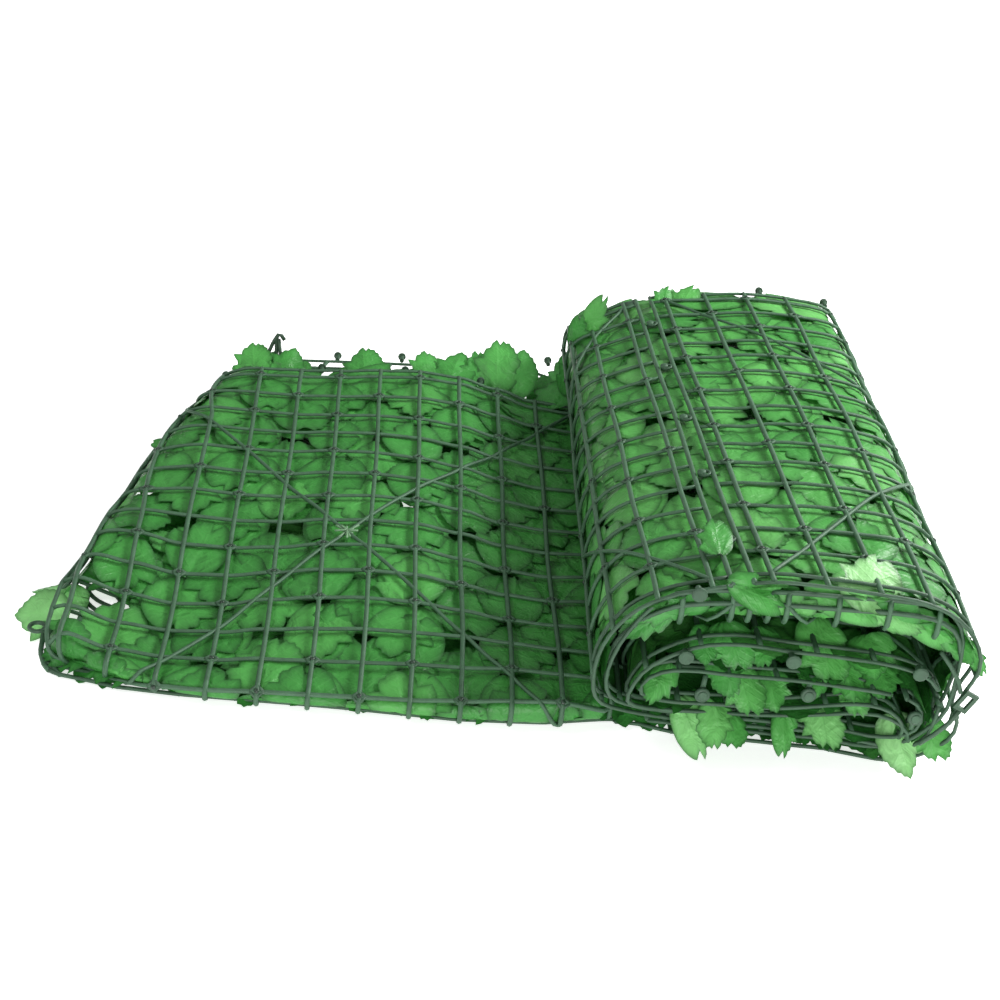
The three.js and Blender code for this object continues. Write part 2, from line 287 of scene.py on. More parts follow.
def outer(s, v):
    s, v = np.asarray(s, float).ravel(), np.asarray(v, float).ravel()
    xf, zf, xb, zb = along(OUTER, s)
    t = v / ACROSS
    x, z = xf + (xb - xf) * t, zf + (zb - zf) * t
    top = smooth((s - 545) / 60) * smooth((697 - s) / 20)
    side = smooth((s - 420) / 60) * smooth((600 - s) / 60)
    x = x + 4.0 * 4 * np.clip(t * (1 - t), 0, 1) * side
    z = z + 3.4 * 4 * np.clip(t * (1 - t), 0, 1) * top
    share = np.clip(1 - t, 0, 1.03) ** 2
    y = v + tuck(xf, zf) * share
    flat = 1 - smooth((s - 296) / 60)
    near = front_edge(x) + 8
    y_flat = near + (v + EDGE) / (ACROSS + 2 * EDGE) * (484 - near)
    y = y * (1 - flat) + y_flat * flat
    # The left border is drawn in to the outline and stands up a little there.
    left = left_side(y) - 1.0
    into = s + EDGE
    eased = np.interp(into, [-60, 0, 11, 42, 73, 318], [-50, 0, 4, 33, 68, 318])
    squeeze = left + eased / 318 * (171 - left)
    x = np.where(s < 320, squeeze, x)
    z = np.where(s < 320, z + 7.5 * (1 - smooth(into / 50)) * np.interp(y, [60, 130, 440, 470], [0, 1, 1, 0]), z)
    lift = 17 * smooth((y - 440) / 44) * np.interp(x, [-100, 170], [0.35, 1.0]) * np.interp(x, [136, 166], [1, 0.4])
    z = z + lift * flat
    return np.column_stack([x, y, z])


def upper_flat(x, v):
    """The upper loose end: dome and dips, with its front edge and its back left corner turned under."""
    y = v - 45.0
    z = height(x, y)
    # left edge
    left = left_side(y)
    rx, rz = table(LEFT_TURN, y), (z - 3) / 2
    rm = (rx + rz) / 2
    d = left + rx - x
    phi = 1.9 * np.tanh(np.maximum(d, 0) / rm / 1.9)
    x2 = np.where(d > 0, left + rx - rx * np.sin(phi), x)
    z = np.where(d > 0, np.maximum(z - rz * (1 - np.cos(phi)) - 0.11 * np.maximum(0, d - 35), 4.0), z)
    # front edge
    edge = front_edge(x2)
    ry, rz = np.interp(x2, [-185, -120], [12.0, 6.5]), (z - 3) / 2
    rm = (ry + rz) / 2
    d = edge + ry - y
    phi = np.clip(d / rm, 0, math.pi)
    y2 = np.where(d > 0, edge + ry - ry * np.sin(phi) + np.maximum(0, d - math.pi * rm), y)
    z = np.where(d > 0, z - rz * (1 - np.cos(phi)), z)
    return np.column_stack([x2, y2, z])


# How the inner strip's front border curls up at the top of the outer turn, as y and rise by v.
CURL = [(-11, -9, 19), (0, -11, 12), (10, -11, 5), (20, -8, 0), (31, 4, 0), (45, 32, 0), (62, 60, 0)]


def inner(s, v):
    s, v = np.asarray(s, float).ravel(), np.asarray(v, float).ravel()
    xf, zf, xb, zb = along(INNER, s)
    t = v / ACROSS
    x, z = xf + (xb - xf) * t, zf + (zb - zf) * t
    y = v + tuck(xf, zf) * np.clip(1 - t, 0, 1.03) ** 2
    curl = smooth((s - 565) / 40) * smooth((842 - s) / 60)
    at = np.array(CURL, float)
    y = y + curl * np.where(v < 62, np.interp(v, at[:, 0], at[:, 1]) - v, -2 * np.exp(-(v - 62) / 40))
    z = z + curl * np.interp(v, at[:, 0], at[:, 2])
    roll = np.column_stack([x, y, z])
    flat = upper_flat(s - 174.0, v)
    w = smooth((s - 336) / 26)[:, None]
    back = roll.copy()
    back[:, 1] -= 45 * (1 - smooth((s - 350) / 120)) * np.clip(t, 0, 1.03)
    return flat * (1 - w) + back * w


STRIPS = {"outer": (outer, 1.0), "inner": (inner, -1.0)}


def lumps(p, size=70.0, seed=0.0):
    """A slow unevenness, so that no strand is quite straight."""
    q = p / size
    return np.column_stack(
        [
            np.sin(q[:, 1] * 2.1 + seed) * np.cos(q[:, 2] * 3.1 + 1.3 * seed),
            np.sin(q[:, 0] * 2.3 + 2 * seed) * np.cos(q[:, 2] * 2.7 + seed),
            np.sin(q[:, 0] * 1.9 + seed) * np.cos(q[:, 1] * 2.6 + 0.7 * seed),
        ]
    )


def surface(name, s, v):
    p = STRIPS[name][0](s, v)
    return p + 0.7 * lumps(p, seed=1.0 if name == "outer" else 2.0)


def frame_at(name, s, v):
    """Point, unit vectors along s and along v, and the leaf side's normal."""
    e = 2.0
    s, v = np.asarray(s, float).ravel(), np.asarray(v, float).ravel()
    p = surface(name, s, v)
    a = surface(name, s + e, v) - surface(name, s - e, v)
    b = surface(name, s, v + e) - surface(name, s, v - e)
    a /= np.maximum(np.linalg.norm(a, axis=1, keepdims=True), 1e-6)
    b -= a * np.sum(a * b, axis=1, keepdims=True)
    b /= np.maximum(np.linalg.norm(b, axis=1, keepdims=True), 1e-6)
    return p, a, b, np.cross(a, b) * STRIPS[name][1]


class Buffer:
    """Vertices, faces and per-vertex values that become one object."""

    def __init__(self):
        self.v, self.f, self.u, self.t, self.r, self.n = [], [], [], [], [], 0

    def add(self, verts, faces, uv=None, tint=0.5, rim=None):
        verts = np.asarray(verts, float)
        self.v.append(verts)
        self.f.append(np.asarray(faces, int) + self.n)
        self.u.append(np.zeros((len(verts), 2)) if uv is None else np.asarray(uv, float))
        self.t.append(np.full(len(verts), tint, float) if np.isscalar(tint) else np.asarray(tint, float))
        self.r.append(np.zeros(len(verts)) if rim is None else np.asarray(rim, float))
        self.n += len(verts)

    def make(self, name, material, smooth_shading=True):
        verts = (np.vstack(self.v) - CENTRE) / 1000.0
        verts[:, 2] = np.maximum(verts[:, 2], 0.0002)
        faces = np.vstack(self.f)
        mesh = bpy.data.meshes.new(name)
        mesh.vertices.add(len(verts))
        mesh.vertices.foreach_set("co", verts.astype(np.float32).ravel())
        mesh.loops.add(len(faces) * 3)
        mesh.loops.foreach_set("vertex_index", faces.astype(np.int32).ravel())
        mesh.polygons.add(len(faces))
        mesh.polygons.foreach_set("loop_start", np.arange(0, len(faces) * 3, 3, dtype=np.int32))
        mesh.update(calc_edges=True)
        mesh.validate()
        mesh.polygons.foreach_set("use_smooth", np.full(len(mesh.polygons), smooth_shading))
        uv = np.vstack(self.u)
        layer = mesh.uv_layers.new(name="leaf")
        index = np.zeros(len(mesh.loops), np.int32)
        mesh.loops.foreach_get("vertex_index", index)
        layer.data.foreach_set("uv", uv[index].astype(np.float32).ravel())
        tint = mesh.attributes.new("tint", "FLOAT", "POINT")
        tint.data.foreach_set("value", np.concatenate(self.t).astype(np.float32))
        # rim is how far out from the leaf's middle each point lies; the leaf material darkens the outermost part as
        # painted shade
        rim = mesh.attributes.new("rim", "FLOAT", "POINT")
        rim.data.foreach_set("value", np.concatenate(self.r).astype(np.float32))
        mesh.materials.append(material)
        mesh.update()
        o = bpy.data.objects.new(name, mesh)
        bpy.context.scene.collection.objects.link(o)
        return o


def tube(buf, points, normals, width=STRAND, thick=None, sides=6, tint=0.5):
    """A closed strand along points, flat side to the normals."""
    p = np.asarray(points, float)
    n = len(p)
    thick = width * 0.86 if thick is None else thick
    d = np.gradient(p, axis=0)
    d /= np.maximum(np.linalg.norm(d, axis=1, keepdims=True), 1e-9)
    nn = normals - d * np.sum(normals * d, axis=1, keepdims=True)
    nn /= np.maximum(np.linalg.norm(nn, axis=1, keepdims=True), 1e-9)
    side = np.cross(d, nn)
    a = (np.arange(sides) + 0.5) * 2 * math.pi / sides
    ring = (
        p[:, None, :]
        + side[:, None, :] * (np.cos(a)[None, :, None] * width / 2)
        + nn[:, None, :] * (np.sin(a)[None, :, None] * thick / 2)
    )
    verts = ring.reshape(-1, 3)
    i = np.arange(n - 1)[:, None] * sides
    k = np.arange(sides)[None, :]
    a0, b0 = i + k, i + (k + 1) % sides
    quads = np.stack([a0, b0, b0 + sides, a0 + sides], -1).reshape(-1, 4)
    faces = np.vstack([quads[:, [0, 1, 2]], quads[:, [0, 2, 3]]])
    fan = np.array([[0, j + 1, j] for j in range(1, sides - 1)])
    last = (n - 1) * sides
    fan2 = np.array([[last, last + j, last + j + 1] for j in range(1, sides - 1)])
    buf.add(verts, np.vstack([faces, fan, fan2]), tint=tint)


def strand(buf, name, s0, v0, s1, v1, lift=0.0, width=STRAND, step=STEP, tint=0.5):
    """A strand of the mesh between two places of a strip."""
    length = math.hypot(s1 - s0, v1 - v0)
    n = max(2, int(round(length / step)) + 1)
    t = np.linspace(0, 1, n)
    p, _, _, nrm = frame_at(name, s0 + (s1 - s0) * t, v0 + (v1 - v0) * t)
    tube(buf, p - nrm * lift, nrm, width=width, tint=tint)


def disc(buf, centre, axis, radius, depth, sides=12, tint=0.5, dome=0.0):
    """A short closed round piece, its far face domed."""
    axis = np.asarray(axis, float) / np.linalg.norm(axis)
    ref = np.array([1.0, 0, 0]) if abs(axis[0]) < 0.8 else np.array([0, 1.0, 0])
    a = np.cross(axis, ref)
    a /= np.linalg.norm(a)
    b = np.cross(axis, a)
    ang = np.arange(sides) * 2 * math.pi / sides
    circle = np.cos(ang)[:, None] * a + np.sin(ang)[:, None] * b
    rings = [
        centre + circle * radius,
        centre + axis * depth * 0.75 + circle * radius,
        centre + axis * depth + circle * radius * 0.82,
    ]
    verts = np.vstack([*rings, [centre], [centre + axis * (depth + dome)]])
    faces = []
    for r in range(2):
        for k in range(sides):
            a0, b0 = r * sides + k, r * sides + (k + 1) % sides
            faces += [[a0, b0, b0 + sides], [a0, b0 + sides, a0 + sides]]
    for k in range(sides):
        faces += [[3 * sides, (k + 1) % sides, k], [3 * sides + 1, 2 * sides + k, 2 * sides + (k + 1) % sides]]
    buf.add(verts, faces, tint=tint)


def is_sprig(col, row):
    """The nodes that hold a sprig: odd columns on even rows, even columns on every second odd row."""
    r = ROWS - row  # rows are counted from the back, as the panel's pattern is
    return (col % 2 == 1 and r % 2 == 0) or (col % 2 == 0 and r % 4 == 1)


def mesh_panel(buf, name, k):
    """One moulded panel: grid, doubled border, X brace, sprig nodes, corner pads."""
    s0 = k * PITCH
    step = STEP / 2 if k == 0 else STEP
    for c in [-EDGE, *[CELL * i for i in range(COLUMNS + 1)], LONG + EDGE]:
        strand(buf, name, s0 + c, -EDGE, s0 + c, ACROSS + EDGE, lift=0.2, step=step)
    for r in [-EDGE, *[CELL * i for i in range(ROWS + 1)], ACROSS + EDGE]:
        # painted shade: the strands of the doubled front border get a darker tint (0.36) than the others
        strand(buf, name, s0 - EDGE, r, s0 + LONG + EDGE, r, lift=-0.2, width=3.0, step=step, tint=0.5 if r > 0 else 0.36)
    for a, b in (((0, 0), (LONG, ACROSS)), ((0, ACROSS), (LONG, 0))):
        strand(buf, name, s0 + a[0], a[1], s0 + b[0], b[1], lift=0.3, width=2.7, step=step)
    for c in range(COLUMNS + 1):
        for r in range(ROWS + 1):
            if is_sprig(c, r):
                sprig_node(buf, name, s0 + c * CELL, r * CELL)
    # small ragged boss where the braces cross
    for a in range(13):
        w = a * 2 * math.pi / 13 + 0.3 * math.sin(5 * a) + k
        reach = 7.5 + 3.5 * math.sin(4 * a + k)
        strand(buf, name, s0 + LONG / 2, ACROSS / 2, s0 + LONG / 2 + reach * math.cos(w), ACROSS / 2 + reach * math.sin(w), lift=1.2 + 0.8 * math.sin(2 * a), width=1.7, step=2.5, tint=0.95)
    for cs, rv in CORNER_PADS.get((name, k), [(0, ACROSS)]):
        sign_s, sign_v = (-1 if cs == 0 else 1), (-1 if rv == 0 else 1)
        a = np.linspace(0, EDGE, 3)
        ss, vv = np.meshgrid(s0 + cs + sign_s * a, rv + sign_v * np.linspace(0, EDGE, 3))
        p, _, _, n = frame_at(name, ss, vv)
        verts = np.vstack([p + n * 0.5, p - n * 0.5])
        idx = np.arange(9).reshape(3, 3)
        f = []
        for i in range(2):
            for j in range(2):
                q = [idx[i, j], idx[i, j + 1], idx[i + 1, j + 1], idx[i + 1, j]]
                f += [[q[0], q[1], q[2]], [q[0], q[2], q[3]]]
                q = [x + 9 for x in q]
                f += [[q[0], q[2], q[1]], [q[0], q[3], q[2]]]
        rim = [0, 1, 2, 5, 8, 7, 6, 3]
        for i in range(8):
            a0, b0 = rim[i], rim[(i + 1) % 8]
            f += [[a0, a0 + 9, b0], [b0, a0 + 9, b0 + 9]]
        buf.add(verts, f, tint=0.35)


# Corner cells that are moulded shut, as (s, v) of the corner, where a panel has others than the usual one.
CORNER_PADS = {("inner", 2): [(0, ACROSS), (0, 0)], ("outer", 3): [(0, ACROSS), (0, 0)]}


def loose_corner(buf):
    """The lower end's corner, which is bent up to a point behind the flat end."""
    for p in (
        [[-72, 468, 3], [-72.5, 474, 10], [-73.5, 478, 20], [-74, 479, 29], [-72.8, 479, 34], [-70, 479, 33.5], [-67.5, 478.5, 30]],
        [[-84, 468, 5], [-82, 474, 12], [-79, 478, 20], [-76, 479, 28], [-73, 479, 33.5]],
        [[-66, 470, 3], [-68.5, 475, 11], [-70.5, 478, 20], [-72, 479, 30]],
    ):
        tube(buf, np.array(p, float), np.array([[0, -1.0, 0]] * len(p)), width=3.3, tint=0.25)


def sprig_node(buf, name, s, v):
    """A small diamond frame round the pin that holds a sprig."""
    r = 4.1
    around = [(r, 0), (0, r), (-r, 0), (0, -r)]
    for i in range(4):
        a, b = around[i], around[(i + 1) % 4]
        strand(buf, name, s + a[0], v + a[1], s + b[0], v + b[1], lift=0.5, width=2.1, step=10, tint=0.4)
    p, _, _, n = frame_at(name, [s], [v])
    disc(buf, p[0] - n[0] * 1.0, -n[0], 1.6, 1.1, sides=8, tint=0.1, dome=0.6)


def edge_snaps(buf, name, k):
    """Studs and rings past the back border, and the pressed studs in their rings at the seams."""
    s0 = k * PITCH
    for i in range(1, COLUMNS, 2):
        s = s0 + (i + 0.4 * math.sin(i * 2.3 + k)) * CELL
        if k == 0 or 585 < s < 1010:  # the ones that stand out there are CAD nodes
            continue
        p, a, b, n = frame_at(name, [s], [ACROSS + EDGE])
        p, a, b, n = p[0], a[0], b[0], n[0]
        if (i // 2 + k) % 2:
            disc(buf, p + b * 1.0, b, 1.7, 5.0, sides=8, tint=0.4)
            disc(buf, p + b * 5.5, b, 4.3, 1.8, sides=12, tint=0.5, dome=0.4)
        else:
            ring(buf, p + b * 5.0, a, b, 3.6, 1.3)
    for s, way in ((s0 - EDGE, -1), (s0 + LONG + EDGE, 1)):
        if s < 0:  # nothing is snapped to the free end
            continue
        for j in range(1, ROWS, 3):
            v = (j + 0.5) * CELL
            p, a, b, n = frame_at(name, [s + way * 5.0], [v])
            if way > 0:
                ring(buf, p[0] - n[0] * 0.6, a[0], b[0], 3.3, 1.2, tint=0.35)
            else:
                disc(buf, p[0] + n[0] * 0.6, -n[0], 3.0, 3.6, sides=10, tint=0.4, dome=0.5)


def front_stud(buf, x, z, y=-12.0, down=1.0):
    """A round stud that faces the front, on its short neck."""
    face = np.array([0.06, -1.0, 0.12])
    disc(buf, np.array([x, y, z]), face, 4.7, 2.4, sides=16, tint=0.3)
    disc(buf, np.array([x, y, z]) + 2.3 * face, face, 2.9, 0.8, sides=12, tint=0.4)
    tube(buf, np.array([[x, y + 1.5, z + 2.0 * down], [x + 0.5, y + 2.5, z + 7 * down], [x + 1, y + 4, z + 11 * down]]), np.array([[0, -1.0, 0]] * 3), width=3.4, tint=0.4)


def ring(buf, centre, a, b, radius, wire, sides=12, tint=0.5):
    """A small closed torus in the plane of a and b."""
    n = np.cross(a, b)
    ang = np.arange(sides) * 2 * math.pi / sides
    tube_a = np.arange(5) * 2 * math.pi / 5
    out = np.cos(ang)[:, None] * a + np.sin(ang)[:, None] * b
    verts = (
        centre
        + out[:, None, :] * (radius + wire * np.cos(tube_a))[None, :, None]
        + n[None, None, :] * (wire * np.sin(tube_a))[None, :, None]
    ).reshape(-1, 3)
    faces = []
    for i in range(sides):
        for k in range(5):
            a0, b0 = i * 5 + k, i * 5 + (k + 1) % 5
            a1, b1 = ((i + 1) % sides) * 5 + k, ((i + 1) % sides) * 5 + (k + 1) % 5
            faces += [[a0, a1, b1], [a0, b1, b0]]
    buf.add(verts, faces, tint=tint)


# Leaves. Half outlines from the stalk to the tip, as (out from the midrib, along it), in leaf lengths.
HALVES = {
    "stepped": [
        (0.0, 0.0), (0.08, -0.015), (0.2, 0.0), (0.31, 0.04), (0.38, 0.1), (0.42, 0.18), (0.455, 0.27), (0.5, 0.33),
        (0.47, 0.40), (0.36, 0.42), (0.37, 0.5), (0.42, 0.57), (0.46, 0.66), (0.36, 0.67), (0.27, 0.665), (0.255, 0.75),
        (0.21, 0.83), (0.13, 0.85), (0.09, 0.93), (0.0, 1.0),
    ],
    "round": [
        (0.0, 0.0), (0.1, -0.02), (0.22, 0.0), (0.33, 0.06), (0.41, 0.15), (0.45, 0.25), (0.49, 0.35), (0.47, 0.42),
        (0.5, 0.5), (0.46, 0.56), (0.45, 0.63), (0.38, 0.68), (0.36, 0.75), (0.29, 0.79), (0.25, 0.86), (0.17, 0.88),
        (0.13, 0.94), (0.06, 0.95), (0.03, 0.98), (0.0, 1.0),
    ],
    "ivy": [
        (0.0, 0.0), (0.1, -0.03), (0.23, -0.02), (0.34, 0.04), (0.43, 0.1), (0.52, 0.15), (0.46, 0.25), (0.38, 0.32),
        (0.37, 0.4), (0.45, 0.46), (0.5, 0.55), (0.42, 0.59), (0.31, 0.6), (0.27, 0.66), (0.29, 0.75), (0.2, 0.78),
        (0.16, 0.84), (0.1, 0.9), (0.05, 0.95), (0.0, 1.0),
    ],
    "fan": [
        (0.0, 0.0), (0.1, 0.0), (0.2, 0.06), (0.3, 0.15), (0.38, 0.26), (0.42, 0.38), (0.36, 0.42), (0.37, 0.47), (0.43, 0.52),
        (0.455, 0.62), (0.4, 0.66), (0.4, 0.73), (0.34, 0.78), (0.33, 0.84), (0.27, 0.87), (0.24, 0.94), (0.17, 0.93), (0.12, 0.98),
        (0.06, 0.9), (0.0, 0.84),
    ],
    "oval": [
        (0.0, 0.0), (0.1, 0.0), (0.2, 0.05), (0.29, 0.12), (0.36, 0.2), (0.4, 0.3), (0.42, 0.4), (0.43, 0.5), (0.425, 0.6),
        (0.4, 0.68), (0.37, 0.76), (0.33, 0.83), (0.28, 0.89), (0.22, 0.94), (0.17, 0.96), (0.13, 0.93), (0.1, 0.9), (0.06, 0.87),
        (0.03, 0.85), (0.0, 0.84),
    ],
    "flared": [
        (0.0, 0.0), (0.09, 0.02), (0.19, 0.07), (0.285, 0.15), (0.355, 0.24), (0.41, 0.33), (0.445, 0.42), (0.468, 0.5),
        (0.48, 0.58), (0.48, 0.66), (0.462, 0.745), (0.355, 0.74), (0.26, 0.735), (0.267, 0.8), (0.255, 0.87), (0.225, 0.905),
        (0.155, 0.91), (0.13, 0.96), (0.07, 0.975), (0.0, 1.0),
    ],
}
RINGS = (0.3, 0.62, 1.0)


def leaf_shape(left, right):
    """Points of a leaf as (x, y), its triangles, and how far out each lies."""
    a = np.array(HALVES[right])[:-1]
    b = np.array(HALVES[left])[1:][::-1] * np.array([-1, 1])
    rim = np.vstack([a, b])
    mid = np.array([0.0, 0.42])
    pts, out = [mid], [0.0]
    for f in RINGS:
        pts.extend(mid + (rim - mid) * f)
        out.extend([f] * len(rim))
    n = len(rim)
    faces = [[0, 1 + i, 1 + (i + 1) % n] for i in range(n)]
    for r in range(len(RINGS) - 1):
        for i in range(n):
            p, q = 1 + r * n + i, 1 + r * n + (i + 1) % n
            faces += [[p, p + n, q + n], [p, q + n, q]]
    return np.array(pts), np.array(faces), np.array(out)


SHAPES = [
    leaf_shape(*pair)
    for pair in (("stepped", "oval"), ("fan", "oval"), ("fan", "fan"), ("stepped", "fan"), ("ivy", "oval"), ("stepped", "round"), ("fan", "stepped"), ("flared", "flared"), ("flared", "oval"), ("stepped", "flared"))
]


def gaps():
    """How far each strip is from the other in the roll, on its leaf side, by s."""
    s = np.linspace(320, 1479, 500)
    a, b = along(OUTER, s), along(INNER, s)
    out = []
    for p, q in ((a, b), (b, a)):
        d = np.minimum(
            np.hypot(p[0][:, None] - q[0][None, :], p[1][:, None] - q[1][None, :]),
            np.hypot(p[2][:, None] - q[2][None, :], p[3][:, None] - q[3][None, :]),
        )
        d[np.abs(s[:, None] - s[None, :]) > 150] = 1e3
        out.append(d.min(axis=1))
    return s, {"outer": out[0], "inner": out[1]}


GAP_S, GAP = gaps()


def leaf_room(name, s, at):
    """The depth that leaves have there."""
    roll = 0.7 * np.interp(s, GAP_S, GAP[name])
    if name == "inner":
        flat = at[:, 2] - 4.0
    else:
        flat = np.where(at[:, 1] < 438, height(at[:, 0], at[:, 1]) - at[:, 2] - 5.0, 12.0)
    w = smooth((s - 315) / 40)
    return np.maximum(flat * (1 - w) + roll * w, 2.5)


HOLE = (-163, 103, 4.5)  # the floor shows through the flat end there: x, y and reach

FREE = np.array([370.5, -12.4, 65.0])  # the corner frame stands free of leaves


def leaf_on(buf, name, s, v, angle, size, depth, cup=0.2, droop=0.25, lift=0.1, tint=None, shape=None):
    """A leaf whose stalk is at (s, v), lying angle from the v direction, depth off the mesh on the leaf side."""
    pts, faces, out = SHAPES[rng.integers(len(SHAPES)) if shape is None else shape]
    p = pts * size
    x, y = p[:, 0] * rng.uniform(0.76, 0.9), p[:, 1]
    c, sn = math.cos(angle), math.sin(angle)
    ds, dv = x * c + y * sn, y * c - x * sn
    r = np.hypot(x, y - 0.42 * size) / size
    phase = rng.uniform(0, 6.28)
    turn = np.arctan2(x, y + 1e-6)
    h = depth + cup * size * (np.abs(x) / size) ** 1.25 + droop * size * np.maximum(0.0, y / size - 0.5) ** 1.6
    h = h + lift * size * np.clip(1 - y / size, 0, 1) ** 1.3  # the stalk lies under the neighbours' tips
    h = h + 0.013 * size * np.sin(3 * turn + phase) * (r / 0.5) ** 1.5 + 0.01 * size * np.sin(7 * turn + 2 * phase) * r
    h = h + 0.02 * size * np.exp(-((x / (0.06 * size)) ** 2)) * rng.uniform(-0.6, 1.0)
    at = np.minimum(s + ds, 3 * PITCH + LONG + EDGE + 5)  # no leaf hangs past the strip's end
    base, _, _, n = frame_at(name, at, v + dv)
    room = leaf_room(name, at, base)
    h = room * (1 - np.exp(-np.maximum(h, 1.4) / room))
    q = base + n * h[:, None]
    if s < 60 and np.hypot(q[:, 0] - HOLE[0], q[:, 1] - HOLE[1]).min() < HOLE[2]:
        return
    if np.linalg.norm(q - FREE, axis=1).min() < 17:
        return
    buf.add(q, faces, uv=pts, tint=np.clip(rng.normal(0.46, 0.14), 0.1, 0.85) if tint is None else tint, rim=out)


def placed(buf, stalk, tip, up, wide=0.85, tint=None, shape=None, arch=0.06, cup=0.15):
    """A leaf that stands free of the mesh between two places, its face towards up."""
    pts, faces, out = SHAPES[rng.integers(len(SHAPES)) if shape is None else shape]
    d = np.array(tip, float) - np.array(stalk, float)
    size = np.linalg.norm(d)
    d /= size
    u = np.array(up, float)
    u -= d * (u @ d)
    u /= np.linalg.norm(u)
    w = np.cross(d, u)
    x, y = pts[:, 0] * size * wide, pts[:, 1] * size
    turn = np.arctan2(pts[:, 0], pts[:, 1] + 1e-6)
    r = np.hypot(pts[:, 0], pts[:, 1] - 0.42)
    lean, bend = rng.uniform(-0.18, 0.18), rng.uniform(-0.5, 0.5)
    h = 4 * arch * size * pts[:, 1] * (1 - pts[:, 1]) - cup * np.abs(x) + lean * x + bend * x * (pts[:, 1] - 0.5)
    h = h + 0.045 * size * np.sin(3 * turn + rng.uniform(0, 6.28)) * (r / 0.5) ** 1.5 + 0.02 * size * np.sin(7 * turn + rng.uniform(0, 6.28)) * r
    q = np.array(stalk, float) + x[:, None] * w + y[:, None] * d + h[:, None] * u
    q[:, 2] = np.maximum(q[:, 2], 1.2)
    buf.add(q, faces, uv=pts, tint=rng.uniform(0.35, 0.6) if tint is None else tint, rim=out)


FLAT_SHAPES = (7, 7, 8, 8, 9, 0, 1, 3)


def sprigs(buf, name, k):
    """The sprigs of one panel: from each node a leaf to the front and one to the back, and under them one or two along the strip."""
    s0 = k * PITCH
    for c in range(COLUMNS + 1):
        for r in range(ROWS + 1):
            if not is_sprig(c, r):
                continue
            s, v = s0 + c * CELL, r * CELL
            side = 1 if rng.random() < 0.5 else -1
            first = rng.random() < 0.25 or v < 40  # here the leaves towards the back come on top
            for j in range(4):
                angle = (math.pi, 0.0, math.pi / 2, -math.pi / 2)[j] * side + rng.normal(0, 0.14)
                size = rng.uniform(56, 63) if v > 40 or j else rng.uniform(44, 50)
                depth = (2.9, 4.3, 5.8, 7.0)[j] if not first else (2.9, 1.5, 5.8, 7.0)[j]
                depth += rng.uniform(-0.15, 0.15)
                if j > 1 and rng.random() < 0.25:
                    continue
                # painted light and shade: the leaves' mean tint is lighter on the roll's right side and top, darker on
                # the upper loose end, and darker still next to the roll, where the roll shades it
                painted_light_mean_tone = 0.5
                if name == "outer" and 430 < s < 820:
                    painted_light_mean_tone = 0.67
                elif name == "inner" and k == 0:
                    painted_light_mean_tone = 0.45 if s < 240 else 0.33
                tint = np.clip(rng.normal(painted_light_mean_tone, 0.12), 0.12, 0.82)
                # painted light: the turn that shows under the outer one gets a light tint
                if v < 63 and name == "outer" and 1105 < s < 1290:  # the turn that shows under the outer one
                    tint = rng.uniform(0.65, 0.85)
                # painted shade: leaves in the hollows of the core get a dark tint
                elif v < 63 and s > 830:  # the hollows of the core
                    tint = rng.uniform(0.1, 0.3)
                if k == 3 and s + size * math.sin(angle) > s0 + LONG + EDGE + 3:
                    angle = -angle
                reach = v + size * math.cos(angle)
                over = max(0.0, reach - (ACROSS + EDGE), -EDGE - reach)
                if name == "outer" and k == 0:
                    if c == 0 or (v > ACROSS - 70 and j == 1) or (v > ACROSS - 15 and j > 1):
                        continue
                    if c < 3 and math.sin(angle) < 0:
                        angle = -angle
                    if over > 2:
                        angle = math.copysign(math.pi / 2, math.sin(angle)) + rng.normal(0, 0.2)
                elif over > 10:
                    angle = math.copysign(math.pi / 2, math.sin(angle)) + rng.normal(0, 0.2)
                leaf_on(buf, name, s + rng.normal(0, 1.5), v + rng.normal(0, 1.5), angle, size, depth, cup=rng.uniform(-0.03, 0.06), droop=rng.uniform(-0.02, 0.03), lift=rng.uniform(0.015, 0.035), tint=tint, shape=FLAT_SHAPES[rng.integers(len(FLAT_SHAPES))])
